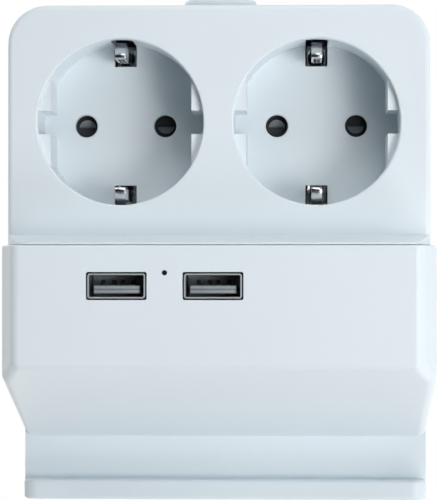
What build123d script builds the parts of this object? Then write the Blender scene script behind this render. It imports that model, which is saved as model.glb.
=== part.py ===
from build123d import *
import math
import os

os.makedirs("parts", exist_ok=True)

# Desktop extension lead block, in millimetres. It stands on a table with its sockets
# facing up. +Y runs from the phone groove at the front to the cord gland at the back.

# Heights
foot_height = 1.5
base_thickness = 2.5
socket_deck_height = 54.0
deck_step = 12.0
lip_height = 5.0
wall = 2.0

# Lengths, from the front lip to the back
lip_thickness = 4.9
groove_width = 10.7
slope_run = 19.5
usb_deck_depth = 28.35
riser_run = 2.33
socket_deck_depth = 53.65
gland_reach = 2.7
seam_gap = 0.16

# Widths and plan shape
body_width = 101.3
socket_deck_inset = 1.45
back_corner_radius = 9.0
front_corner_radius = 1.2
side_lean = 17.5
shoulder_radius = 8.0

# Edge rounding
usb_deck_edge_radius = 2.4
deck_front_radius = 1.3
socket_deck_edge_radius = 1.2
seam_edge_radius = 0.45
lip_end_radius = 3.6
lip_edge_radius = 0.8
rim_edge_radius = 0.45

# Socket recess and insert, from the deck's side edges inwards
recess_from_side = 6.9
recess_gap = 7.0
socket_from_back = 27.23
recess_depth = 17.5
cup_wall = 1.6
cup_floor = 2.5
flange_overhang = 1.3
flange_thickness = 1.5
segment_width = 2.9
segment_notch = 5.5
pin_pitch = 19.0
pin_hole_radius = 2.675
pin_hole_chamfer = 0.25
clip_slot_width = 5.3
clip_slot_reach = 5.15
shutter_chamber = 7.5

# Shutter, its post, spring and retainer
post_radius = 1.7
running_clearance = 0.05
shutter_gap = 0.3
shutter_thickness = 1.6
pad_height = 1.3
pad_radius = 2.35
pad_angle = 27.0
shutter_half_width = 3.4
shutter_tip = 3.4
hub_radius = 3.6
neck_radius = 2.4
neck_height = 2.2
spring_wire_radius = 0.25
spring_turns = 2.5
retainer_thickness = 0.5
retainer_radius = 3.8

# Earth clip
clip_thickness = 0.7
clip_width = 3.0
clip_foot_width = 4.4
clip_arm_back = 0.9
clip_knee_reach = 4.2
clip_knee_depth = 9.8
clip_tip_reach = 0.5
clip_tip_depth = 4.2
clip_bend_depth = 17.0
clip_slit = 0.9
clip_slit_length = 8.0
clip_bend_radius = 1.0

# Contact carrier and busbars
carrier_thickness = 3.0
carrier_edge_gap = 0.3
carrier_half_depth = 15.0
block_overhang = 5.6
block_half_depth = 9.5
block_height = 9.0
sleeve_bore = 2.3
sleeve_wall = 0.7
sleeve_slit = 0.8
sleeve_clearance = 0.2
sleeve_recess = 1.0
bar_width = 5.0
bar_thickness = 0.8
bar_offset = 6.0
link_width = 4.0
link_gap = 1.2

# Fasteners
housing_boss_radius = 3.5
carrier_boss_radius = 3.0
screw_radius = 1.25
screw_head_radius = 2.8
screw_head_height = 1.5
screw_hole_clearance = 0.35
head_room = 0.7
screw_bite = 9.0
small_screw_radius = 1.0
small_head_radius = 2.24
small_head_height = 1.2
board_screw_bite = 5.0
clamp_screw_bite = 5.5
boss_from_side = 9.15
boss_offset_y = 19.7
carrier_boss_offset = 11.6
front_boss_from_deck_edge = 9.5

# Charger module
port_from_side = 27.72
port_pitch = 22.06
port_from_deck_edge = 18.93
port_width = 13.9
port_height = 6.4
port_corner = 0.45
shell_gap = 0.345
shell_wall = 0.35
shell_length = 14.0
shell_drop = 0.3
tongue_width = 11.0
tongue_thickness = 1.8
tongue_drop = 1.9
tongue_shift = 0.8
contact_width = 1.0
contact_thickness = 0.25
contact_pitch = 2.3
board_thickness = 1.6
board_side_gap = 0.5
board_depth = 23.0
board_post_radius = 2.5
board_post_inset = 3.5
light_from_deck_edge = 21.95
light_radius = 0.55
light_gap = 0.05
led_radius = 1.5
led_height = 2.4
transformer_size = (13.0, 13.0, 11.0)
transformer_from_edge = 14.0
winding_inset = 3.0
winding_swell = 1.5
capacitor_radius = 3.15
capacitor_height = 11.0
capacitor_gap = 1.85
capacitor_shift = 6.0

# Cord gland and clamp
gland_height = 38.0
gland_radius = 8.7
gland_neck_radius = 6.7
gland_neck_clearance = 0.1
gland_bore = 3.75
gland_collar = 1.63
gland_edge_radius = 1.4
gland_pad = 3.2
gland_flange = 1.8
gland_flange_radius = 8.0
clamp_post_x = 7.5
clamp_post_radius = 2.5
clamp_bar_half_width = 10.5
clamp_bar_depth = 5.0
clamp_bar_thickness = 2.75
clamp_shelf_thickness = 3.8
clamp_from_back = 7.3

# Base plate and feet
base_edge = 0.6
rim_thickness = 1.5
rim_height = 3.0
rim_clearance = 0.2
foot_radius = 5.0
foot_recess = 0.8
foot_recess_clearance = 0.1
foot_edge = 0.4
front_foot_from_side = 12.65
rear_foot_from_side = 22.65
foot_inset = 9.0

# Derived levels
base_top = foot_height + base_thickness
groove_z = base_top + wall
lip_top = groove_z + lip_height
usb_deck_z = socket_deck_height + deck_step
deck_under = socket_deck_height - wall
usb_deck_under = usb_deck_z - wall
recess_floor = socket_deck_height - recess_depth
floor_under = recess_floor - cup_floor
skirt_bottom = floor_under - shutter_chamber

# Derived lines along the length
overall_length = (lip_thickness + groove_width + slope_run + usb_deck_depth
                  + riser_run + socket_deck_depth + gland_reach)
y_front = -overall_length / 2
y_lip = y_front + lip_thickness
y_slope_foot = y_lip + groove_width
y_deck_front = y_slope_foot + slope_run
y_seam = y_deck_front + usb_deck_depth
y_crease = y_seam + riser_run
y_back = y_crease + socket_deck_depth
y_gland = y_back + gland_reach
y_socket = y_back - socket_from_back
y_front_cover_end = y_seam - seam_gap / 2
y_rear_cover_start = y_seam + seam_gap / 2

# Derived widths
half_width = body_width / 2
boss_x = half_width - boss_from_side
board_half_width = boss_x - housing_boss_radius - board_side_gap
board_post_x = board_half_width - board_post_inset
transformer_x = board_half_width - transformer_from_edge
draft_rate = socket_deck_inset / (socket_deck_height - base_top)
slope_rate = slope_run / (usb_deck_z - groove_z)
slope_wall = wall * math.hypot(1, slope_rate)
recess_radius = (half_width - socket_deck_inset - recess_from_side - recess_gap / 2) / 2
cup_radius = recess_radius + cup_wall
socket_x = recess_gap / 2 + recess_radius
pin_offset = pin_pitch / 2
port_centre_x = port_from_side + port_pitch / 2 - half_width
port_x = [port_centre_x - port_pitch / 2, port_centre_x + port_pitch / 2]
y_port = y_deck_front + port_from_deck_edge
sides = {"left": -1, "right": 1}

UPWARD = (Align.CENTER, Align.CENTER, Align.MIN)


def block(x0, x1, y0, y1, z0, z1):
    return Pos((x0 + x1) / 2, (y0 + y1) / 2, (z0 + z1) / 2) * Box(x1 - x0, y1 - y0, z1 - z0)


def post(x, y, z0, z1, radius):
    return Pos(x, y, z0) * Cylinder(radius, z1 - z0, align=UPWARD)


def side_prism(points, half):
    """A profile of (y, z) points, extruded half to each side of the centre plane."""
    return extrude(Plane.YZ * make_face(Polyline(*points, close=True)), half, both=True)


def length_prism(section, y0, y1):
    """A section drawn in X and Z, extruded from y0 to y1."""
    return extrude(Pos(0, y1, 0) * (Plane.XZ * section), y1 - y0)


def deck_section(half, z0, z1):
    """Upright sides that lean in above the socket deck's level."""
    lean = (z1 - socket_deck_height) * math.tan(math.radians(side_lean))
    points = [(-half, z0), (half, z0), (half, socket_deck_height), (half - lean, z1),
              (lean - half, z1), (-half, socket_deck_height)]
    outline = make_face(Polyline(*points, close=True))
    shoulders = [v for v in outline.vertices() if abs(v.Y - socket_deck_height) < 0.01]
    return fillet(shoulders, shoulder_radius)


def back_plan(inset, y0):
    """The rear cover's plan at its foot, rounded at the two back corners."""
    half = half_width - inset
    back = y_back + socket_deck_inset - inset
    plan = make_face(Polyline((-half, y0), (half, y0), (half, back), (-half, back), close=True))
    corners = plan.vertices().group_by(Axis.Y)[-1]
    return fillet(corners, back_corner_radius + socket_deck_inset - inset)


def back_body(inset, y0, z0, z1):
    """A body over the rear plan, whose sides lean in with the mould's draft."""
    plans = [Pos(0, 0, z) * back_plan(inset + draft_rate * (z - base_top), y0) for z in (z0, z1)]
    return loft(plans, ruled=True)


def boss_places():
    """The rear cover's four long screw bosses, round the two sockets."""
    return [(sx * boss_x, y_socket + sy * boss_offset_y) for sx in (-1, 1) for sy in (-1, 1)]


def front_boss_places():
    return [(sx * boss_x, y_deck_front + front_boss_from_deck_edge) for sx in (-1, 1)]


def carrier_boss_places():
    return [(0, y_socket + sy * carrier_boss_offset) for sy in (-1, 1)]


def board_post_places():
    y0 = y_board_front + board_post_inset
    y1 = y_board_front + board_depth - board_post_inset
    return [(sx * board_post_x, y) for sx in (-1, 1) for y in (y0, y1)]


# Levels and lines of the charger board, which hangs under the raised front deck
shell_top = usb_deck_z - shell_drop
board_top = shell_top - shell_length
y_board_front = y_seam - 3.0 - board_depth

# Levels and lines of the gland and its clamp
gland_outer = y_gland - gland_collar
gland_inner = gland_outer - gland_pad
y_clamp = y_back - clamp_from_back
clamp_rest = gland_height + gland_bore


def make_front_cover():
    """Raised front shell: USB deck, long slope, phone groove and lip."""
    foot = y_slope_foot - wall * slope_rate
    profile = [(foot, base_top), (y_deck_front, usb_deck_z), (y_front_cover_end, usb_deck_z),
               (y_front_cover_end, base_top)]
    section = deck_section(half_width, base_top, usb_deck_z)
    shell = length_prism(section, foot - 1, y_front_cover_end)
    shell = shell & side_prism(profile, half_width + 1)
    side_edges = [e for e in shell.edges()
                  if e.bounding_box().size.Y > 0.2
                  and abs(e.center().X) > half_width / 2
                  and not (e.bounding_box().max.Z < base_top + 0.01)
                  and (e.bounding_box().max.Z > usb_deck_z - 0.01
                       or abs((e @ 0.5).Y - y_slope_foot - slope_rate * ((e @ 0.5).Z - groove_z)) < 0.05)]
    shell = fillet(side_edges, usb_deck_edge_radius)
    front_edge = [e for e in shell.edges() if e.bounding_box().min.Z > usb_deck_z - 0.01
                  and e.bounding_box().max.Y < y_deck_front + 0.01
                  and e.bounding_box().size.X > half_width]
    shell = fillet(front_edge, deck_front_radius)
    seam_edges = [e for e in shell.edges()
                  if e.bounding_box().min.Y > y_front_cover_end - 0.01
                  and e.bounding_box().max.Z > base_top + 0.1]
    shell = fillet(seam_edges, seam_edge_radius)

    inside = length_prism(offset(deck_section(half_width, base_top - 5, usb_deck_z), amount=-wall),
                          y_slope_foot, y_front_cover_end + 1)
    inner_foot = y_slope_foot + slope_wall
    inner_profile = [(inner_foot - (groove_z - base_top + 1) * slope_rate, base_top - 1),
                     (inner_foot + (usb_deck_under - groove_z) * slope_rate, usb_deck_under),
                     (y_seam + 2, usb_deck_under), (y_seam + 2, base_top - 1)]
    shell = shell - (inside & side_prism(inner_profile, half_width))

    groove = block(-half_width, half_width, y_front, inner_foot, base_top, groove_z)
    front_corners = groove.edges().filter_by(Axis.Z).group_by(Axis.Y)[0]
    groove = fillet(front_corners, front_corner_radius)
    lip_face = make_face(Polyline((-half_width, base_top), (half_width, base_top),
                                  (half_width, lip_top), (-half_width, lip_top), close=True))
    lip_face = fillet(lip_face.vertices().group_by(Axis.Y)[-1], lip_end_radius)
    lip = length_prism(lip_face, y_front, y_lip)
    lip_edges = [e for e in lip.edges() if e.bounding_box().size.Y < 0.01
                 and e.bounding_box().max.Z > base_top + 0.1]
    lip = fillet(lip_edges, lip_edge_radius)
    lip_core = block(wall - half_width, half_width - wall, y_front + wall * 0.8,
                     y_lip - wall * 0.8, base_top - 1, lip_top - wall * 0.8)
    shell = shell + groove + lip - lip_core

    for x, y in front_boss_places():
        shell += post(x, y, base_top, usb_deck_under + 0.5, housing_boss_radius)
        shell -= post(x, y, base_top - 1, base_top + screw_bite + 1, screw_radius)
    for x, y in board_post_places():
        shell += post(x, y, board_top, usb_deck_under + 0.5, board_post_radius)
        shell -= post(x, y, board_top - 1, board_top + board_screw_bite + 1, small_screw_radius)
    for x in port_x:
        window = Pos(x, y_port, usb_deck_under - 1) * RectangleRounded(port_width, port_height, port_corner)
        shell -= extrude(window, wall + 2)
    shell -= post(port_centre_x, y_deck_front + light_from_deck_edge, usb_deck_under - 1,
                  usb_deck_z + 1, light_radius + light_gap)
    return shell


def make_rear_cover():
    """Socket shell with the riser to the front deck, screw bosses and the gland's wall pad."""
    shell = back_body(0, y_deck_front, base_top, socket_deck_height)
    top_edges = [e for e in shell.edges() if e.bounding_box().min.Z > socket_deck_height - 0.01
                 and e.center().Y > y_deck_front + 1]
    shell = fillet(top_edges, socket_deck_edge_radius)
    shell = shell - back_body(wall, y_deck_front - 1, base_top - 1, deck_under)
    shell -= block(-half_width - 1, half_width + 1, y_front, y_rear_cover_start, 0, usb_deck_z)

    riser_top = usb_deck_z - 0.3
    riser_land = 0.4
    riser_half = half_width - socket_deck_inset
    riser_face = deck_section(riser_half, deck_under, riser_top)
    riser_face = fillet(riser_face.vertices().group_by(Axis.Y)[-1], usb_deck_edge_radius)
    riser = length_prism(riser_face, y_rear_cover_start, y_crease)
    riser &= side_prism([(y_rear_cover_start, deck_under), (y_crease, deck_under),
                         (y_crease, socket_deck_height),
                         (y_rear_cover_start + riser_land, riser_top),
                         (y_rear_cover_start, riser_top)], half_width)
    tongue_depth = 2.0
    tongue_foot = deck_under - 6.0
    tongue_face = offset(deck_section(half_width, base_top - 5, usb_deck_z),
                         amount=-(wall + rim_clearance))
    tongue = length_prism(tongue_face, y_seam - tongue_depth, y_rear_cover_start + 0.35)
    tongue &= block(-half_width, half_width, y_seam - 5, y_seam + 5, tongue_foot, usb_deck_z)
    shell = shell + riser + tongue

    for x, y in boss_places():
        shell += post(x, y, base_top, deck_under + 0.5, housing_boss_radius)
        shell -= post(x, y, base_top - 1, base_top + screw_bite + 1, screw_radius)
    for x, y in carrier_boss_places():
        shell += post(x, y, skirt_bottom, deck_under + 0.5, carrier_boss_radius)
        shell -= post(x, y, skirt_bottom - 1, skirt_bottom + screw_bite + 1, screw_radius)

    for side in sides.values():
        shell -= post(side * socket_x, y_socket, deck_under - 1, socket_deck_height + 1, recess_radius)
    rims = [e for e in shell.edges().filter_by(GeomType.CIRCLE)
            if abs(e.radius - recess_radius) < 0.001
            and abs(e.bounding_box().min.Z - socket_deck_height) < 0.001]
    shell = fillet(rims, rim_edge_radius)

    gland_plane = Plane(origin=(0, gland_inner, gland_height), x_dir=(1, 0, 0), z_dir=(0, 1, 0))
    shell += extrude(gland_plane * Circle(gland_radius), gland_pad)
    shell -= extrude(gland_plane * Circle(gland_neck_radius + gland_neck_clearance), gland_pad + 2)
    half_clamp = clamp_bar_depth / 2
    shelf_top = gland_height - gland_flange_radius - 0.4
    shell += block(-clamp_bar_half_width, clamp_bar_half_width, y_clamp - half_clamp,
                   y_back - wall + 0.6, shelf_top - clamp_shelf_thickness, shelf_top)
    for x in (-clamp_post_x, clamp_post_x):
        shell += post(x, y_clamp, shelf_top - 1, clamp_rest, clamp_post_radius)
        shell -= post(x, y_clamp, clamp_rest - clamp_screw_bite - 0.5, clamp_rest + 1, small_screw_radius)
    return shell


def make_base_plate():
    """Flat bottom with a locating rim, countersunk screw holes and foot recesses."""
    plan = back_plan(0, y_front)
    plan = fillet(plan.vertices().group_by(Axis.Y)[0], front_corner_radius)
    plate = extrude(Pos(0, 0, foot_height) * plan, base_thickness)
    lower = [e for e in plate.edges() if e.bounding_box().max.Z < foot_height + 0.01]
    plate = chamfer(lower, base_edge)
    rim_start = (y_slope_foot + slope_wall + rim_clearance
                 + (base_top + rim_height - groove_z) * slope_rate)
    rim_inset = wall + rim_clearance
    ring = back_plan(rim_inset, rim_start) - back_plan(rim_inset + rim_thickness,
                                                       rim_start + rim_thickness)
    rim = extrude(Pos(0, 0, base_top - 0.5) * ring, rim_height + 0.5, taper=math.degrees(draft_rate))
    plate += rim
    cone_gap = 0.05
    for x, y in boss_places() + front_boss_places():
        plate -= post(x, y, 0, base_top + 1, screw_radius + screw_hole_clearance)
        plate -= Pos(x, y, foot_height - 0.01) * Cone(screw_head_radius + cone_gap,
                                                      screw_radius + cone_gap,
                                                      screw_head_height, align=UPWARD)
    for x, y in foot_places().values():
        plate -= post(x, y, 0, foot_height + foot_recess, foot_radius + foot_recess_clearance)
    return plate


def foot_places():
    y0 = y_front + foot_inset
    y1 = y_back - foot_inset
    x0 = half_width - front_foot_from_side
    x1 = half_width - rear_foot_from_side
    return {"front_left": (-x0, y0), "front_right": (x0, y0),
            "rear_left": (-x1, y1), "rear_right": (x1, y1)}


def make_foot(x, y):
    foot = post(x, y, 0, foot_height + foot_recess, foot_radius)
    return chamfer(foot.edges().group_by(Axis.Z)[0], foot_edge)


def make_socket_insert():
    """Socket cup at the origin: flange, round recess, side lands, clip slots and pin holes."""
    cup = post(0, 0, skirt_bottom, deck_under, cup_radius)
    cup += post(0, 0, deck_under - flange_thickness, deck_under, cup_radius + flange_overhang)
    hollow = post(0, 0, recess_floor, deck_under + 1, recess_radius)
    land = block(recess_radius - segment_width, cup_radius, -cup_radius, cup_radius, recess_floor, deck_under + 1)
    land -= block(0, cup_radius, -segment_notch / 2, segment_notch / 2, recess_floor, deck_under + 1)
    hollow = hollow - land - mirror(land, about=Plane.YZ)
    cup -= hollow
    cup -= post(0, 0, skirt_bottom - 1, floor_under, recess_radius)
    cup += post(0, 0, post_end, floor_under, post_radius)
    slot_top = deck_under - flange_thickness
    slot = block(-clip_slot_width / 2, clip_slot_width / 2, recess_radius - clip_slot_reach, cup_radius + 5,
                 skirt_bottom - 1, slot_top)
    cup = cup - slot - mirror(slot, about=Plane.XZ)
    for x in (-pin_offset, pin_offset):
        cup -= post(x, 0, floor_under - 1, recess_floor + 1, pin_hole_radius)
    mouths = [e for e in cup.edges().filter_by(GeomType.CIRCLE)
              if abs(e.radius - pin_hole_radius) < 0.001
              and abs(e.bounding_box().min.Z - recess_floor) < 0.001]
    return chamfer(mouths, pin_hole_chamfer)


# Levels of the shutter under the recess floor
blade_top = floor_under - shutter_gap - pad_height
blade_bottom = blade_top - shutter_thickness
neck_bottom = blade_bottom - neck_height
retainer_top = neck_bottom - 0.1
post_end = retainer_top - retainer_thickness


def make_shutter():
    """Two-bladed turning shutter at the origin, with a sloped half-moon pad under each pin hole."""
    tip = pin_offset + shutter_tip
    bar = extrude(Pos(0, 0, blade_bottom) * SlotOverall(2 * tip, 2 * shutter_half_width),
                  shutter_thickness)
    shutter = bar + post(0, 0, blade_bottom, floor_under - shutter_gap, hub_radius)
    half_moon = Circle(pad_radius) - Pos(0, -pad_radius - 0.3) * Rectangle(4 * pad_radius, 2 * pad_radius)
    pad = extrude(Pos(-pin_offset, 0, blade_top - 0.2) * half_moon, pad_height + 0.2)
    cutter = Pos(-pin_offset, pad_radius, blade_top + pad_height) * Rot(pad_angle, 0, 0) * Box(
        4 * pad_radius, 8 * pad_radius, 2 * pad_height, align=UPWARD)
    pad = pad - cutter
    shutter = shutter + pad + Rot(0, 0, 180) * pad
    shutter += post(0, 0, neck_bottom, blade_bottom + 0.1, neck_radius)
    return shutter - post(0, 0, neck_bottom - 1, floor_under, post_radius + running_clearance)


def make_spring():
    """Small coil round the shutter's neck, which turns the blades back over the holes."""
    pitch = (neck_height - 2 * spring_wire_radius - 0.3) / spring_turns
    coil_radius = neck_radius + spring_wire_radius + 0.35
    path = Helix(pitch, pitch * spring_turns, coil_radius,
                 center=(0, 0, neck_bottom + spring_wire_radius + 0.1))
    wire = Plane(origin=path @ 0, z_dir=path % 0) * RegularPolygon(spring_wire_radius, 6)
    return sweep(wire, path=path, is_frenet=True)


def make_retainer():
    """Pressed ring on the end of the post, which carries the shutter."""
    return post(0, 0, post_end, retainer_top, retainer_radius) - post(
        0, 0, post_end - 1, retainer_top + 1, post_radius)


def make_earth_clip():
    """One folded strip: a foot under the shutter and a sprung arm up each slot of the cup."""
    mid = clip_thickness / 2
    arm = recess_radius + clip_arm_back
    points = [(0, skirt_bottom + mid), (arm, skirt_bottom + mid),
              (arm, socket_deck_height - clip_bend_depth),
              (recess_radius - clip_knee_reach, socket_deck_height - clip_knee_depth),
              (recess_radius - clip_tip_reach, socket_deck_height - clip_tip_depth)]
    strip = trace(FilletPolyline(*points, radius=clip_bend_radius), clip_thickness)
    half = extrude(Plane.YZ * strip, clip_foot_width / 2, both=True)
    arm_cut = block(clip_width / 2, clip_foot_width, 0, cup_radius + 1,
                    skirt_bottom + 3, socket_deck_height)
    slit_top = socket_deck_height - clip_knee_depth + 0.6
    half = half - arm_cut - mirror(arm_cut, about=Plane.YZ)
    half -= block(-clip_slit / 2, clip_slit / 2, 0, cup_radius + 1,
                  slit_top - clip_slit_length, slit_top)
    return half + mirror(half, about=Plane.XZ)


def make_earth_link():
    """Strip that joins the two earth clips under their front feet."""
    reach = socket_x + clip_foot_width / 2
    y1 = y_socket - carrier_half_depth - link_gap
    return block(-reach, reach, y1 - link_width, y1, skirt_bottom - bar_thickness, skirt_bottom)


def make_contact_carrier():
    """Moulded plate under both cups, with a block that holds the contact sleeves."""
    carrier_half_width = socket_x + recess_radius - carrier_edge_gap
    plate = block(-carrier_half_width, carrier_half_width, y_socket - carrier_half_depth,
                  y_socket + carrier_half_depth, skirt_bottom - carrier_thickness, skirt_bottom)
    plate = fillet(plate.edges().filter_by(Axis.Z), 3.0)
    block_half_width = socket_x + pin_offset + block_overhang
    plate += block(-block_half_width, block_half_width, y_socket - block_half_depth,
                   y_socket + block_half_depth, block_bottom, skirt_bottom - 1)
    for x in (-1, 1):
        for pin in (-pin_offset, pin_offset):
            plate -= post(x * socket_x + pin, y_socket, block_bottom - 1, skirt_bottom + 1,
                          sleeve_bore + sleeve_wall + sleeve_clearance)
    for x, y in carrier_boss_places():
        plate -= post(x, y, block_bottom - 1, skirt_bottom + 1, screw_radius + screw_hole_clearance)
        plate -= post(x, y, block_bottom - 1, skirt_bottom - carrier_thickness,
                      screw_head_radius + head_room)
    return plate


block_bottom = skirt_bottom - carrier_thickness - block_height


def make_busbar(pins, offset_y):
    """Flat bar under the carrier block, with a slit contact sleeve for each of its two pins."""
    bar = block(min(pins) - 3, max(pins) + 3, y_socket + offset_y - bar_width / 2,
                y_socket + offset_y + bar_width / 2, block_bottom - bar_thickness, block_bottom)
    outer = sleeve_bore + sleeve_wall
    for x in pins:
        near = min(0, offset_y)
        far = max(0, offset_y)
        bar += block(x - outer, x + outer, y_socket + near, y_socket + far,
                     block_bottom - bar_thickness, block_bottom)
        bar += post(x, y_socket, block_bottom - bar_thickness, skirt_bottom - sleeve_recess, outer)
        bar -= post(x, y_socket, block_bottom, skirt_bottom, sleeve_bore)
        bar -= block(x - outer - 1, x + outer + 1, y_socket - sleeve_slit / 2,
                     y_socket + sleeve_slit / 2, block_bottom + 2, skirt_bottom)
    return bar


def raised_screw(x, y, z, length, head_radius, head_height, radius):
    """Screw with its head under the level z and its shank going up."""
    head = post(x, y, z - head_height, z, head_radius)
    return head + post(x, y, z - head_height / 2, z + length, radius)


def carrier_screw(x, y):
    return raised_screw(x, y, skirt_bottom - carrier_thickness, carrier_thickness + screw_bite,
                        screw_head_radius, screw_head_height, screw_radius)


def board_screw(x, y):
    return raised_screw(x, y, board_top - board_thickness, board_thickness + board_screw_bite,
                        small_head_radius, small_head_height, small_screw_radius)


def clamp_screw(x):
    top = clamp_rest + clamp_bar_thickness
    head = post(x, y_clamp, top, top + small_head_height, small_head_radius)
    return head + post(x, y_clamp, clamp_rest - clamp_screw_bite, top + small_head_height / 2,
                       small_screw_radius)


def countersunk_screw(x, y):
    head = Pos(x, y, foot_height) * Cone(screw_head_radius, screw_radius, screw_head_height, align=UPWARD)
    return head + post(x, y, foot_height + 0.5, base_top + screw_bite, screw_radius)


def make_usb_shell():
    """Open metal box at the origin, its mouth up."""
    width = port_width - 2 * shell_gap
    height = port_height - 2 * shell_gap
    outer = extrude(Pos(0, 0, board_top) * RectangleRounded(width, height, 0.6), shell_length)
    inner = extrude(Pos(0, 0, board_top + 1) * RectangleRounded(
        width - 2 * shell_wall, height - 2 * shell_wall, 0.3), shell_length)
    return outer - inner


def make_usb_tongue():
    top = usb_deck_z - tongue_drop
    tongue = block(-tongue_width / 2, tongue_width / 2, -tongue_shift - tongue_thickness / 2,
                   tongue_thickness / 2 - tongue_shift, board_top + 1, top)
    return chamfer(tongue.edges().group_by(Axis.Z)[-1], 0.25)


def make_usb_contacts():
    """Four thin contact blades on the tongue's rear face."""
    face = tongue_thickness / 2 - tongue_shift
    blades = []
    for step in (-1.5, -0.5, 0.5, 1.5):
        x = step * contact_pitch
        blades.append(block(x - contact_width / 2, x + contact_width / 2, face,
                            face + contact_thickness, board_top + 1, usb_deck_z - tongue_drop - 1.2))
    return Compound(children=blades)


def make_board():
    board = block(-board_half_width, board_half_width, y_board_front, y_board_front + board_depth,
                  board_top - board_thickness, board_top)
    for x, y in board_post_places():
        board -= post(x, y, board_top - 3, board_top + 1, small_screw_radius + screw_hole_clearance)
    return board


def make_transformer():
    width, depth, height = transformer_size
    y = y_board_front + board_depth / 2
    core = block(transformer_x - width / 2, transformer_x + width / 2, y - depth / 2,
                 y + depth / 2, board_top, board_top + height)
    winding = block(transformer_x - width / 2 + winding_inset, transformer_x + width / 2 - winding_inset,
                    y - depth / 2 - winding_swell, y + depth / 2 + winding_swell,
                    board_top + winding_inset, board_top + height - winding_inset)
    return core + winding


def make_capacitors():
    y = y_board_front + board_depth / 2
    beside_core = transformer_x - transformer_size[0] / 2 - capacitor_radius - capacitor_gap
    places = [(-board_post_x, y), (beside_core, y - capacitor_shift)]
    return Compound(children=[post(x, py, board_top, board_top + capacitor_height, capacitor_radius)
                              for x, py in places])


def make_led():
    y = y_deck_front + light_from_deck_edge
    body = post(port_centre_x, y, board_top, board_top + led_height, led_radius)
    return fillet(body.edges().group_by(Axis.Z)[-1], led_radius * 0.6)


def make_light_pipe():
    y = y_deck_front + light_from_deck_edge
    foot = post(port_centre_x, y, board_top + led_height, board_top + led_height + 1.2, led_radius)
    return foot + post(port_centre_x, y, board_top + led_height + 1, usb_deck_z - 0.15, light_radius)


def make_cord_gland():
    """Turned bush in the back wall: round collar outside, neck, inner flange, bore for the cord."""
    collar = gland_radius
    inner = gland_inner - gland_flange
    profile = make_face(Polyline((gland_bore, inner), (gland_flange_radius, inner),
                                 (gland_flange_radius, gland_inner), (gland_neck_radius, gland_inner),
                                 (gland_neck_radius, gland_outer), (collar, gland_outer),
                                 (collar, y_gland), (gland_bore, y_gland), close=True))
    corner = profile.vertices().sort_by_distance((collar, y_gland, 0))[0]
    profile = fillet(corner, gland_edge_radius)
    mouth = profile.vertices().sort_by_distance((gland_bore, y_gland, 0))[0]
    profile = fillet(mouth, 0.5)
    bush = revolve(profile, Axis.Y)
    return Pos(0, 0, gland_height) * bush


def make_cord_clamp():
    half_depth = clamp_bar_depth / 2
    bar = block(-clamp_bar_half_width, clamp_bar_half_width, y_clamp - half_depth,
                y_clamp + half_depth, clamp_rest, clamp_rest + clamp_bar_thickness)
    bar = fillet(bar.edges().filter_by(Axis.Z), 1.2)
    bar += block(-3.5, 3.5, y_clamp - 0.8, y_clamp + 0.8, clamp_rest - 1.0, clamp_rest + 1)
    for x in (-clamp_post_x, clamp_post_x):
        bar -= post(x, y_clamp, clamp_rest - 1, clamp_rest + clamp_bar_thickness + 1,
                    small_screw_radius + screw_hole_clearance)
    return bar


parts = {
    "front_cover": make_front_cover(),
    "rear_cover": make_rear_cover(),
    "base_plate": make_base_plate(),
    "contact_carrier": make_contact_carrier(),
    "earth_link": make_earth_link(),
    "live_busbar": make_busbar([-socket_x - pin_offset, socket_x - pin_offset], bar_offset),
    "neutral_busbar": make_busbar([-socket_x + pin_offset, socket_x + pin_offset], -bar_offset),
    "charger_board": make_board(),
    "transformer": make_transformer(),
    "capacitors": make_capacitors(),
    "indicator_led": make_led(),
    "light_pipe": make_light_pipe(),
    "cord_gland": make_cord_gland(),
    "cord_clamp": make_cord_clamp(),
    "housing_screws": Compound(children=[countersunk_screw(x, y)
                                         for x, y in boss_places() + front_boss_places()]),
    "carrier_screws": Compound(children=[carrier_screw(x, y) for x, y in carrier_boss_places()]),
    "board_screws": Compound(children=[board_screw(x, y) for x, y in board_post_places()]),
    "clamp_screws": Compound(children=[clamp_screw(x) for x in (-clamp_post_x, clamp_post_x)]),
}
for name, side in sides.items():
    place = Pos(side * socket_x, y_socket, 0)
    parts[f"socket_insert_{name}"] = place * make_socket_insert()
    parts[f"shutter_{name}"] = place * make_shutter()
    parts[f"shutter_spring_{name}"] = place * make_spring()
    parts[f"shutter_retainer_{name}"] = place * make_retainer()
    parts[f"earth_clip_{name}"] = place * make_earth_clip()
for name, x in zip(("left", "right"), port_x):
    place = Pos(x, y_port, 0)
    parts[f"usb_shell_{name}"] = place * make_usb_shell()
    parts[f"usb_tongue_{name}"] = place * make_usb_tongue()
    parts[f"usb_contacts_{name}"] = place * make_usb_contacts()
for name, (x, y) in foot_places().items():
    parts[f"rubber_foot_{name}"] = make_foot(x, y)

for name, shape in parts.items():
    export_step(shape, f"parts/{name}.step")
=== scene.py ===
from math import pi

import bmesh
import bpy
from mathutils import Euler, Matrix, Vector


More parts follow.
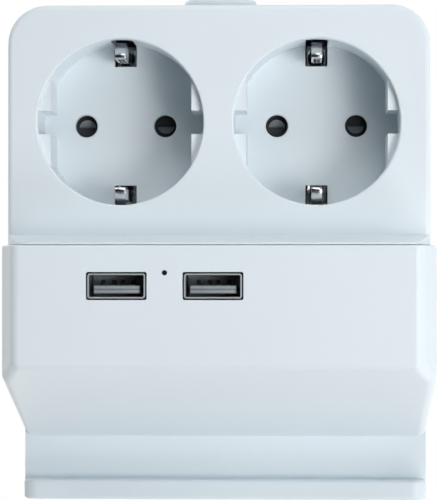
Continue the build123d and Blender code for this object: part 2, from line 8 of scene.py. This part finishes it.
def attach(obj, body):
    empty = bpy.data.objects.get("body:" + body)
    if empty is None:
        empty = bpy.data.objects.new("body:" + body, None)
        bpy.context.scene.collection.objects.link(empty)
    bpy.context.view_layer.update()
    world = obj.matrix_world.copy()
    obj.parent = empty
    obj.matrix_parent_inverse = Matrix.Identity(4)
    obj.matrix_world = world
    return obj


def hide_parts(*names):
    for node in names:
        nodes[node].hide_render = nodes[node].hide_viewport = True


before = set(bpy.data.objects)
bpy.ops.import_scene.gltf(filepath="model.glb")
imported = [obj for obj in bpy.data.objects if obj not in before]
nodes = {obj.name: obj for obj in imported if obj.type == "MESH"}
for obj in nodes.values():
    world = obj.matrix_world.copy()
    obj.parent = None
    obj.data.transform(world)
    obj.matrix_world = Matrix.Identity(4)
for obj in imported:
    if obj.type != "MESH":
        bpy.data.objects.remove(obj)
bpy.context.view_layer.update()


# Base plate
# The floor of the block, moulded in the same cool white plastic as the covers and screwed up into
# them from below. Its mould was spark eroded, which leaves a fine even satin grain on every face.
class Wire:
    """One output of a material's node tree, so that shader maths reads as Python."""

    def __init__(self, tree, socket):
        self.tree = tree
        self.socket = socket

    def node(self, kind, settings=None, values=None, output=0):
        made = self.tree.nodes.new(kind)
        for name, value in (settings or {}).items():
            setattr(made, name, value)
        for key, value in (values or {}).items():
            if isinstance(value, Wire):
                self.tree.links.new(value.socket, made.inputs[key])
            else:
                made.inputs[key].default_value = value
        return Wire(self.tree, made.outputs[output])

    def maths(self, operation, *terms):
        return self.node("ShaderNodeMath", {"operation": operation}, dict(enumerate(terms)))

    def __add__(self, other):
        return self.maths("ADD", self, other)

    def __sub__(self, other):
        return self.maths("SUBTRACT", self, other)

    def __rsub__(self, other):
        return self.maths("SUBTRACT", other, self)

    def __mul__(self, other):
        return self.maths("MULTIPLY", self, other)

    def __abs__(self):
        return self.maths("ABSOLUTE", self)

    __radd__ = __add__
    __rmul__ = __mul__

    def axis(self, name):
        return self.node("ShaderNodeSeparateXYZ", {}, {0: self}, "XYZ".index(name))

    def stretched(self, factors):
        return self.node("ShaderNodeVectorMath", {"operation": "MULTIPLY"}, {0: self, 1: factors})

    def noise(self, scale, detail=2.0):
        return self.node("ShaderNodeTexNoise", {}, {"Vector": self, "Scale": scale, "Detail": detail})

    def ramp(self, low, high):
        """A smooth step from 0 at low to 1 at high."""
        return self.node("ShaderNodeMapRange", {"interpolation_type": "SMOOTHSTEP"},
                         {"Value": self, "From Min": low, "From Max": high})

    def tint(self, first, second):
        """A colour that goes from the first to the second as this value goes from 0 to 1."""
        first = first if isinstance(first, Wire) else (*first, 1)
        return self.node("ShaderNodeMix", {"data_type": "RGBA"}, {0: self, 6: first, 7: (*second, 1)}, 2)

    def bump(self, depth, strength=1.0):
        return self.node("ShaderNodeBump", {}, {"Height": self, "Distance": depth, "Strength": strength})

    def into(self, shader, name):
        self.tree.links.new(self.socket, shader.inputs[name])


def new_finish(name, ior=1.5):
    """A new material with its Principled shader, and the object coordinates as a Wire."""
    material = bpy.data.materials.new(name)
    material.use_nodes = True
    shader = material.node_tree.nodes["Principled BSDF"]
    shader.inputs["IOR"].default_value = ior
    place = material.node_tree.nodes.new("ShaderNodeTexCoord").outputs["Object"]
    return material, shader, Wire(material.node_tree, place)


def shaded(colour, factor):
    """The same colour, darker or lighter by a factor."""
    return tuple(min(1.0, part * factor) for part in colour)


def moulded(name, colour, roughness, drift=0.015, grain=0.000012):
    """Moulded plastic: the tint drifts with the melt, and the mould's grain breaks up the gloss."""
    material, shader, place = new_finish(name)
    melt = place.noise(14.0, 3.0).ramp(0.3, 0.7)
    melt.tint(shaded(colour, 1 - drift), shaded(colour, 1 + drift)).into(shader, "Base Color")
    spark = place.noise(2400.0, 3.0)
    (spark * 0.10 + (roughness - 0.05)).into(shader, "Roughness")
    spark.bump(grain, 0.6).into(shader, "Normal")
    return material


def dress(material, *names):
    """Give the model's own nodes a finish."""
    for name in names:
        for slot in nodes[name].material_slots:
            slot.material = material


cool_white = (0.77, 0.85, 0.90)
satin = 0.42
white_body = moulded("white_body", cool_white, satin)
dress(white_body, "base_plate")


# Rubber feet
# Four soft black discs, moulded in rubber and pressed into shallow recesses of the base plate. They
# are dead matt, and a little dust sits in the grain of the part that stands on the table.
rubber_black = (0.022, 0.022, 0.024)
dust_grey = (0.075, 0.073, 0.07)
dust_height = 0.0012
foot_rubber, foot_shader, foot_place = new_finish("foot_rubber")
foot_dust = foot_place.noise(700.0, 4.0).ramp(0.45, 0.75)
foot_worn = 1 - foot_place.axis("Z").ramp(0.0, dust_height)
(foot_dust * foot_worn).tint(rubber_black, dust_grey).into(foot_shader, "Base Color")
(foot_dust * 0.12 + 0.68).into(foot_shader, "Roughness")
foot_place.noise(1800.0, 3.0).bump(0.00004, 0.7).into(foot_shader, "Normal")
dress(foot_rubber, "rubber_foot_front_left", "rubber_foot_front_right", "rubber_foot_rear_left",
      "rubber_foot_rear_right")


# Charger board
# Glass fibre board with a green lacquer over copper tracks, screwed up to posts of the front cover.
# The tracks stand a hair above the board, so the lacquer is paler and catches the light over them.
lacquer_green = (0.018, 0.105, 0.045)
lacquer_over_track = (0.045, 0.19, 0.08)
board_green, board_shader, board_place = new_finish("board_green", 1.52)
tracks = board_place.node("ShaderNodeTexBrick", {"offset": 0.35, "squash": 0.6, "squash_frequency": 3},
                          {"Vector": board_place, "Scale": 180.0, "Mortar Size": 0.12,
                           "Mortar Smooth": 0.3, "Bias": 0.0}, "Fac")
weave = board_place.stretched((1.0, 1.0, 0.3)).noise(900.0, 2.0)
tracks.tint(lacquer_green, lacquer_over_track).into(board_shader, "Base Color")
(weave * 0.12 + 0.24).into(board_shader, "Roughness")
(tracks + weave * 0.2).bump(0.00004, 0.6).into(board_shader, "Normal")
dress(board_green, "charger_board")


# Transformer and capacitors
# The transformer is cast in matt black resin, and the capacitors wear a shrunk black sleeve. They
# stand on the board inside the housing, where nothing shows them.
black_resin = moulded("black_resin", (0.028, 0.029, 0.032), 0.5, 0.12, 0.00003)
dress(black_resin, "transformer", "capacitors")


# Indicator lamp and light pipe
# A clear diode stands on the board, and on it a light pipe moulded in smoke-tinted plastic, which
# ends in its hole between the ports. Unlit, it looks black.
lamp_clear = moulded("lamp_clear", (0.55, 0.58, 0.60), 0.12, 0.02, 0.000003)
dress(lamp_clear, "indicator_led")
pipe_smoke = moulded("pipe_smoke", (0.012, 0.013, 0.015), 0.22, 0.05, 0.000004)
dress(pipe_smoke, "light_pipe")


# Charging ports
# Each port is a shell folded from tinned steel strip, round a grey moulded tongue on its own base.
# The sheared lip of the shell is matt grey, and its inside is painted with shade, darker towards the
# bottom.
def rolled(name, colour, roughness, along=(1.0, 1.0, 0.08), scale=2600.0):
    """Rolled or drawn metal: fine streaks along its length, with a little cloud in the plating."""
    material, shader, place = new_finish(name)
    shader.inputs["Metallic"].default_value = 1.0
    streak = place.stretched(along).noise(scale, 3.0)
    cloud = place.noise(260.0, 2.0)
    (streak * 0.6 + cloud * 0.4).tint(shaded(colour, 0.88), colour).into(shader, "Base Color")
    (streak * 0.12 + cloud * 0.06 + (roughness - 0.09)).into(shader, "Roughness")
    streak.bump(0.000003, 0.4).into(shader, "Normal")
    return material


MM = 0.001
usb_deck = 66.0
port_y = -7.035
left_port_x = -22.93
right_port_x = -0.87
port_pitch = right_port_x - left_port_x

sheared_lip = (0.40, 0.44, 0.46)
painted_shade_at_foot = (0.26, 0.28, 0.29)
inside_at_mouth = (0.72, 0.74, 0.75)
painted_shade_full_depth = 9.0
painted_shade_free_depth = 0.5
geometry_normal = 1

shell_tin, shell_shader, shell_place = new_finish("shell_tin")
shell_up = shell_place.node("ShaderNodeNewGeometry", output=geometry_normal).axis("Z").ramp(0.3, 0.8)
# The inside of the shell is painted with shade: its colour darkens from the mouth down towards the foot of
# the port.
shell_painted_shade = shell_place.axis("Z").ramp((usb_deck - painted_shade_full_depth) * MM,
                                         (usb_deck - painted_shade_free_depth) * MM)
shell_dull = shell_place.stretched((1.0, 1.0, 0.1)).noise(2200.0, 3.0)
shell_inner = (shell_painted_shade * (shell_dull * 0.4 + 0.6)).tint(painted_shade_at_foot, inside_at_mouth)
shell_up.tint(shell_inner, sheared_lip).into(shell_shader, "Base Color")
(shell_dull * 0.12 + 0.30 + shell_up * 0.25).into(shell_shader, "Roughness")
(1 - shell_up * 0.75).into(shell_shader, "Metallic")
dress(shell_tin, "usb_shell_left", "usb_shell_right")


def block(name, low, high):
    """A block from its low to its high corner, in millimetres, as the start of a piece."""
    bpy.ops.object.select_all(action="DESELECT")
    middle = [(a + b) / 2 * MM for a, b in zip(low, high)]
    sides = [(b - a) * MM for a, b in zip(low, high)]
    bpy.ops.mesh.primitive_cube_add(size=1, location=middle, scale=sides)
    piece = bpy.context.object
    piece.name = name
    bpy.ops.object.transform_apply(location=True, rotation=True, scale=True)
    return piece


def edit(piece, mode, test):
    """Edit mode, with the vertices or edges selected whose middle, in millimetres, passes the test."""
    bpy.ops.object.select_all(action="DESELECT")
    bpy.context.view_layer.objects.active = piece
    bpy.ops.object.mode_set(mode="EDIT")
    bpy.ops.mesh.select_mode(type=mode)
    bpy.ops.mesh.select_all(action="DESELECT")
    form = bmesh.from_edit_mesh(piece.data)
    for part in form.verts if mode == "VERT" else form.edges:
        corners = [part] if mode == "VERT" else list(part.verts)
        middle = sum((corner.co for corner in corners), Vector()) / len(corners)
        part.select_set(bool(test(*(middle / MM))))
    form.select_flush_mode()
    bmesh.update_edit_mesh(piece.data)


def edited():
    """Leave edit mode."""
    bpy.ops.object.mode_set(mode="OBJECT")


def modify(piece, kind, **settings):
    """Add a modifier, set it and apply it."""
    modifier = piece.modifiers.new(kind.lower(), kind)
    for name, value in settings.items():
        setattr(modifier, name, value)
    bpy.context.view_layer.objects.active = piece
    bpy.ops.object.modifier_apply(modifier=modifier.name)


def combine(piece, other, operation="UNION"):
    """Join another solid to the piece, or cut it out."""
    modify(piece, "BOOLEAN", operation=operation, object=other, solver="EXACT")
    bpy.data.objects.remove(other)


SHARP = 0.6
SAME_PLACE = 0.001


def soften(piece, width, segments=2):
    """Break the sharp edges by a small round, and shade the result smoothly."""
    modify(piece, "BEVEL", width=width * MM, segments=segments, limit_method="ANGLE", angle_limit=SHARP,
           use_clamp_overlap=True, harden_normals=False)
    bpy.ops.object.select_all(action="DESELECT")
    piece.select_set(True)
    bpy.context.view_layer.objects.active = piece
    bpy.ops.object.shade_smooth_by_angle(angle=SHARP)


def copied(piece, name, x=0.0):
    """A copy with its own mesh, moved sideways by some millimetres."""
    bpy.ops.object.select_all(action="DESELECT")
    other = piece.copy()
    other.data = piece.data.copy()
    other.name = name
    bpy.context.collection.objects.link(other)
    other.select_set(True)
    bpy.context.view_layer.objects.active = other
    other.location = (x * MM, 0, 0)
    bpy.ops.object.transform_apply(location=True, rotation=True, scale=True)
    return other


def stand_in(piece, node, material, body="root"):
    """Hand the finished piece over in the place of a node of the model."""
    piece.data.materials.clear()
    piece.data.materials.append(material)
    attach(piece, body)
    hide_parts(node)


def pair(left, right_name, step, node, material):
    """Hand over a piece of the left side, and a copy of it a step to the right."""
    right = copied(left, right_name, step)
    stand_in(left, f"{node}_left", material)
    stand_in(right, f"{node}_right", material)


# The tongue stands on a base that fills the foot of the shell. A fine line of painted shade runs along the
# middle of its end face.
tongue_front = port_y - 1.7
tongue_rear = port_y + 0.1
tongue_half_width = 5.3
tongue_foot = 52.8
tongue_end = 64.1
tongue_round = 0.25
tongue_edge = 0.08
base_half_width = 6.1
base_half_depth = 2.35
base_foot = 52.75
base_top = 55.5
tongue_pale = (0.36, 0.40, 0.43)
tongue_dark = (0.17, 0.19, 0.21)
shade_line_core = 0.12
shade_line_fade = 0.3

tongue_grey, tongue_shader, tongue_place = new_finish("tongue_grey")
tongue_middle = (tongue_front + tongue_rear) / 2 * MM
# Painted shade: a dark line along the middle of the tongue's end face.
tongue_painted_shade_line = 1 - abs(tongue_place.axis("Y") - tongue_middle).ramp(shade_line_core * MM, shade_line_fade * MM)
tongue_melt = tongue_place.stretched((0.4, 1.0, 1.0)).noise(900.0, 3.0)
tongue_shade = (tongue_melt * 0.5 + tongue_painted_shade_line * 0.8).tint(tongue_pale, tongue_dark)
tongue_shade.into(tongue_shader, "Base Color")
(tongue_melt * 0.15 + 0.32).into(tongue_shader, "Roughness")
tongue_melt.bump(0.00002, 0.5).into(tongue_shader, "Normal")

tongue = block("usb_insulator_left", (left_port_x - tongue_half_width, tongue_front, tongue_foot),
               (left_port_x + tongue_half_width, tongue_rear, tongue_end))
edit(tongue, "EDGE", lambda x, y, z: z > tongue_end - tongue_round)
bpy.ops.mesh.bevel(offset=tongue_round * MM, segments=2, affect="EDGES")
edited()
base = block("usb_base", (left_port_x - base_half_width, port_y - base_half_depth, base_foot),
             (left_port_x + base_half_width, port_y + base_half_depth, base_top))
combine(tongue, base)
soften(tongue, tongue_edge)
pair(tongue, "usb_insulator_right", port_pitch, "usb_tongue", tongue_grey)


# The four contacts of a port are narrow springs of tinned bronze. Each lies on the tongue's rear
# face, bows away from it near the foot and lies flat again near the end.
def folded_strip(name, width, route, thickness, bend, segments=4):
    """A strip of sheet, its middle line through points (x, y, z) in millimetres, with round bends."""
    bpy.ops.object.select_all(action="DESELECT")
    bpy.ops.mesh.primitive_plane_add(size=width * MM, location=[part * MM for part in route[0]])
    strip = bpy.context.object
    strip.name = name
    bpy.ops.object.transform_apply(location=True, rotation=True, scale=True)
    edit(strip, "VERT", lambda x, y, z: y > route[0][1])
    bpy.ops.mesh.delete(type="VERT")
    bpy.ops.mesh.select_all(action="SELECT")
    bpy.ops.transform.translate(value=(0, width / 2 * MM, 0))
    for first, last in zip(route, route[1:]):
        step = [(b - a) * MM for a, b in zip(first, last)]
        bpy.ops.mesh.extrude_edges_move(TRANSFORM_OT_translate={"value": step})
    edited()
    folds = [Vector(fold) for fold in route[1:-1]]
    edit(strip, "EDGE", lambda *middle: any((Vector(middle) - fold).length < SAME_PLACE for fold in folds))
    bpy.ops.mesh.bevel(offset=bend * MM, segments=segments, affect="EDGES")
    edited()
    modify(strip, "SOLIDIFY", thickness=thickness * MM, offset=0.0)
    return strip


contact_tin = rolled("contact_tin", (0.60, 0.63, 0.64), 0.24)
contact_places = (-3.5, -1.0, 1.0, 3.5)
contact_width = 1.0
contact_sheet = 0.16
contact_bend = 0.25
contact_edge = 0.03
contact_flat = tongue_rear + 0.12
contact_bow = tongue_rear + 1.25
contact_route = ((contact_flat, 55.3), (contact_flat, 57.0), (contact_bow, 58.6), (contact_flat, 61.5),
                 (contact_flat, 63.0))

first_x = left_port_x + contact_places[0]
springs = folded_strip("usb_springs_left", contact_width, [(first_x, y, z) for y, z in contact_route],
                       contact_sheet, contact_bend)
soften(springs, contact_edge, 1)
others = [copied(springs, "usb_spring", across - contact_places[0]) for across in contact_places[1:]]
bpy.ops.object.select_all(action="DESELECT")
for spring in (springs, *others):
    spring.select_set(True)
bpy.context.view_layer.objects.active = springs
bpy.ops.object.join()
pair(springs, "usb_springs_right", port_pitch, "usb_contacts", contact_tin)


# Contact carrier
# A plate moulded in pale, slightly waxy nylon, which holds the brass contacts in line below both
# sockets and is screwed up to the rear cover. The bar that clamps the cord is of the same nylon.
carrier_nylon = moulded("carrier_nylon", (0.48, 0.49, 0.47), 0.5, 0.04, 0.00002)
dress(carrier_nylon, "contact_carrier", "cord_clamp")


# Busbars and earth link
# The busbars are stamped from rolled brass strip, with a sprung sleeve for each pin, and left bare.
# The link between the two earth clips is nickel plated. All three show their rolling lines.
strip_along_x = (0.08, 1.0, 1.0)
busbar_brass = rolled("busbar_brass", (0.72, 0.52, 0.24), 0.3, strip_along_x)
dress(busbar_brass, "live_busbar", "neutral_busbar")
link_nickel = rolled("link_nickel", (0.66, 0.67, 0.67), 0.3, strip_along_x)
dress(link_nickel, "earth_link")


# Earth clips
# One piece of nickel-plated spring strip for each socket: a foot below the shutter, and in each slot
# a folded hoop with two cheeks, which springs against the contact on the rim of the plug.
clip_nickel = rolled("clip_nickel", (0.82, 0.83, 0.84), 0.2)

socket_x = 22.9
socket_y = 31.135
recess_radius = 19.4
clip_sheet = 0.5
clip_shift = 0.35
clip_edge = 0.06
clip_x = -socket_x - clip_shift
foot_level = 26.5
foot_half_width = 2.4
foot_reach = recess_radius + 0.5
hole_radius = 2.0
bridge_reach = 3.0
cutter_height = 2.0
hoop_width = 2.45
hoop_half = hoop_width / 2
hoop_foot = foot_level + 0.2
hoop_top = 49.4
hoop_fall = 1.2
hoop_tail = 7.2
hoop_bend = 0.7
hoop_leg = recess_radius - 4.1
hoop_lip = recess_radius - 0.7
window_places = (-0.425, 0.425)
window_half = 0.3
window_top = hoop_top - 1.4
window_foot = window_top - 12.0
window_reach = 1.0
cheek_half = 0.175
cheek_middle = hoop_half - 0.18
cheek_end = hoop_lip - 0.75
cheek_top = hoop_top - 2.0

clip = block("earth_clip_folded_left", (clip_x - foot_half_width, socket_y - foot_reach, foot_level),
             (clip_x + foot_half_width, socket_y + foot_reach, foot_level + clip_sheet))
for turn in (1, -1):
    leg_y = socket_y + turn * hoop_leg
    lip_y = socket_y + turn * hoop_lip
    centre_y = (leg_y + lip_y) / 2
    bpy.ops.object.select_all(action="DESELECT")
    bpy.ops.mesh.primitive_cylinder_add(vertices=40, radius=hole_radius * MM, depth=cutter_height * MM,
                                        location=(clip_x * MM, centre_y * MM, foot_level * MM))
    crescents = bpy.context.object
    bpy.ops.object.transform_apply(location=True, rotation=True, scale=True)
    bridge = block("bridge", (clip_x - hoop_half, centre_y - bridge_reach, foot_level - cutter_height),
                   (clip_x + hoop_half, centre_y + bridge_reach, foot_level + cutter_height))
    combine(crescents, bridge, "DIFFERENCE")
    combine(clip, crescents, "DIFFERENCE")
    hoop_route = [(clip_x, leg_y, hoop_foot), (clip_x, leg_y, hoop_top),
                  (clip_x, lip_y, hoop_top - hoop_fall), (clip_x, lip_y, hoop_top - hoop_tail)]
    hoop = folded_strip("hoop", hoop_width, hoop_route, clip_sheet, hoop_bend, 5)
    for across in window_places:
        window = block("window", (clip_x + across - window_half, leg_y - window_reach, window_foot),
                       (clip_x + across + window_half, leg_y + window_reach, window_top))
        combine(hoop, window, "DIFFERENCE")
    combine(clip, hoop)
    cheek_y = sorted((leg_y, socket_y + turn * cheek_end))
    for across in (-cheek_middle, cheek_middle):
        cheek = block("cheek", (clip_x + across - cheek_half, cheek_y[0], hoop_foot),
                      (clip_x + across + cheek_half, cheek_y[1], cheek_top))
        combine(clip, cheek)
soften(clip, clip_edge)
pair(clip, "earth_clip_folded_right", 2 * socket_x + clip_shift, "earth_clip", clip_nickel)


# Shutters, their springs and rings
# A dark grey moulding with two blades turns below the pin holes of each socket. Its sloped pads close the
# holes until both pins push them aside, and a steel coil turns it back. The pads, and whatever else stands
# above the blades, are painted paler as painted light where light reaches into the pin holes.
shutter_dark = (0.040, 0.045, 0.048)
shutter_painted_light = (0.20, 0.22, 0.235)
blade_top = 32.4
pin_offset = 9.5
pad_reach = 2.5
pad_scale = 0.87
pad_shift = 0.4
weld = 0.01

shutter_grey, shutter_shader, shutter_place = new_finish("shutter_grey")
# Painted light: the pads, and whatever else stands above the blades, are coloured paler.
pad_painted_light = shutter_place.axis("Z").ramp((blade_top + 0.1) * MM, (blade_top + 0.5) * MM)
shutter_melt = shutter_place.noise(500.0, 4.0)
shutter_shade = (pad_painted_light * (shutter_melt * 0.3 + 0.85)).tint(shutter_dark, shutter_painted_light)
shutter_shade.into(shutter_shader, "Base Color")
(shutter_melt * 0.1 + 0.42 - pad_painted_light * 0.06).into(shutter_shader, "Roughness")
shutter_place.noise(2400.0, 3.0).bump(0.00001, 0.5).into(shutter_shader, "Normal")

for side, x in (("left", -socket_x), ("right", socket_x)):
    shutter = copied(nodes[f"shutter_{side}"], f"shutter_moulding_{side}")
    edit(shutter, "VERT", lambda *middle: True)
    bpy.ops.mesh.remove_doubles(threshold=weld * MM)
    edited()
    for pin_x, shift in ((x - pin_offset, -pad_shift), (x + pin_offset, pad_shift)):
        edit(shutter, "VERT", lambda px, py, pz: pz > blade_top - weld and Vector(
            (px - pin_x, py - socket_y)).length < pad_reach)
        bpy.ops.transform.resize(value=(pad_scale, pad_scale, 1),
                                 center_override=(pin_x * MM, socket_y * MM, 0))
        bpy.ops.transform.translate(value=(0, shift * MM, 0))
        edited()
    bpy.ops.object.shade_smooth_by_angle(angle=SHARP)
    stand_in(shutter, f"shutter_{side}", shutter_grey, f"shutter_{side}")
spring_steel = rolled("spring_steel", (0.56, 0.56, 0.57), 0.3, (1.0, 1.0, 1.0), 1800.0)
dress(spring_steel, "shutter_spring_left", "shutter_spring_right", "shutter_retainer_left",
      "shutter_retainer_right")


# Socket inserts
# Two round cups with a flange, moulded in one piece with their pin holes, slots and side lands. They
# sit up against the rear cover, in a slightly warmer white, from a smoother mould.
cup_white = (0.77, 0.835, 0.875)
white_cup = moulded("white_cup", cup_white, 0.38, 0.012, 0.000008)
dress(white_cup, "socket_insert_left", "socket_insert_right")


# Cord gland
# A round collar of the white plastic in the middle of the back wall, with the bore that the lead
# comes through.
dress(white_body, "cord_gland")


# Covers
# The two outer shells: the rear cover with the socket openings, and the raised front cover with the
# ports, the long slope and the groove. They meet at a seam near the raised part's back edge.
dress(white_body, "rear_cover", "front_cover")


# Screws
# Small screws of zinc-plated steel, most of them driven up from below. The plating is slightly blue
# and a little cloudy, with fine lines in it.
screw_zinc = rolled("screw_zinc", (0.60, 0.62, 0.65), 0.32, (1.0, 1.0, 0.3), 1500.0)
dress(screw_zinc, "housing_screws", "carrier_screws", "board_screws", "clamp_screws")


# Table
# A plain white sweep. It keeps the block's shadow for the light that it throws back, and the camera
# and the metal parts see it as white as paper.
table_width = 6.0
table_grey = (0.88, 0.88, 0.88, 1)
table_matt = 0.9
paper_white = (1, 1, 1, 1)
bpy.ops.object.select_all(action="DESELECT")
bpy.ops.mesh.primitive_plane_add(size=table_width, location=(0, 0, 0))
table = bpy.context.object
table.name = "table"
table_finish, table_shader, table_place = new_finish("table_finish")
table_shader.inputs["Roughness"].default_value = table_matt
table_shader.inputs["Base Color"].default_value = table_grey
paper = table_place.node("ShaderNodeEmission", {}, {"Color": paper_white, "Strength": 1.0})
seen = table_place.node("ShaderNodeLightPath")
glossed = Wire(seen.tree, seen.socket.node.outputs["Is Glossy Ray"])
passed = Wire(seen.tree, seen.socket.node.outputs["Is Transmission Ray"])
painted = Wire(table_place.tree, table_shader.outputs[0])
blended = table_place.node("ShaderNodeMixShader", {}, {0: seen + glossed + passed, 1: painted, 2: paper})
blended.into(table_place.tree.nodes["Material Output"], "Surface")
table.data.materials.append(table_finish)


# Light and camera
# Soft square studio panels a metre from the block, each at a height and a turn from +X in degrees,
# and a long lens straight above it, a little to the right.
lit_middle = Vector((0, 0, 0.05))
panel_distance = Vector((0, 0, 1.0))
panel_width = 0.35
degree = pi / 180
panels = (
    ("key_panel", 50, 345, 4.17),
    ("front_panel", 30, 300, 2.59),
    ("back_panel", 30, 90, 2.50),
    ("back_left_panel", 30, 120, 1.06),
    ("front_right_panel", 50, 315, 0.96),
    ("back_right_panel", 50, 75, 0.88),
    ("upper_panel", 65, 5, 1.05),
    ("low_right_panel", 30, 330, 0.28),
    ("low_left_panel", 10, 185, 1.50),
    ("low_front_panel", 10, 240, 0.40),
    ("low_back_panel", 10, 90, 0.50),
)
for name, height, turn, power in panels:
    lamp = bpy.data.lights.new(name, "AREA")
    lamp.size = panel_width
    lamp.energy = power
    holder = bpy.data.objects.new(name, lamp)
    aim = Euler((0, (90 - height) * degree, turn * degree))
    holder.rotation_euler = aim
    holder.location = lit_middle + aim.to_matrix() @ panel_distance
    bpy.context.collection.objects.link(holder)

# The studio is white along the horizon and nearly black above it, which gives the metal its contrast.
wall_white = (1.0, 1.0, 1.0)
ceiling_black = (0.02, 0.02, 0.02)
world = bpy.data.worlds.new("studio")
world.use_nodes = True
room = world.node_tree
outward = Wire(room, room.nodes.new("ShaderNodeTexCoord").outputs["Generated"])
skyline = abs(outward.axis("Z"))
skyline.ramp(0.03, 0.13).tint(wall_white, ceiling_black).into(room.nodes["Background"], "Color")
bpy.context.scene.world = world

view_place = Vector((0.0185, -0.002465, 0.601))
view_target = Vector((0.0, 0.00125, 0.054))
view_line = (view_target - view_place).normalized()
view_right = view_line.cross(Vector((0, 1, 0))).normalized()
view_up = view_right.cross(view_line)
camera_data = bpy.data.cameras.new("camera")
camera_data.lens = 169.4
camera_data.sensor_width = 36.0
camera_data.clip_start = 0.05
camera = bpy.data.objects.new("camera", camera_data)
camera.matrix_world = Matrix((view_right, view_up, -view_line)).transposed().to_4x4()
camera.location = view_place
bpy.context.collection.objects.link(camera)
bpy.context.scene.camera = camera
bpy.context.scene.view_settings.view_transform = "Standard"
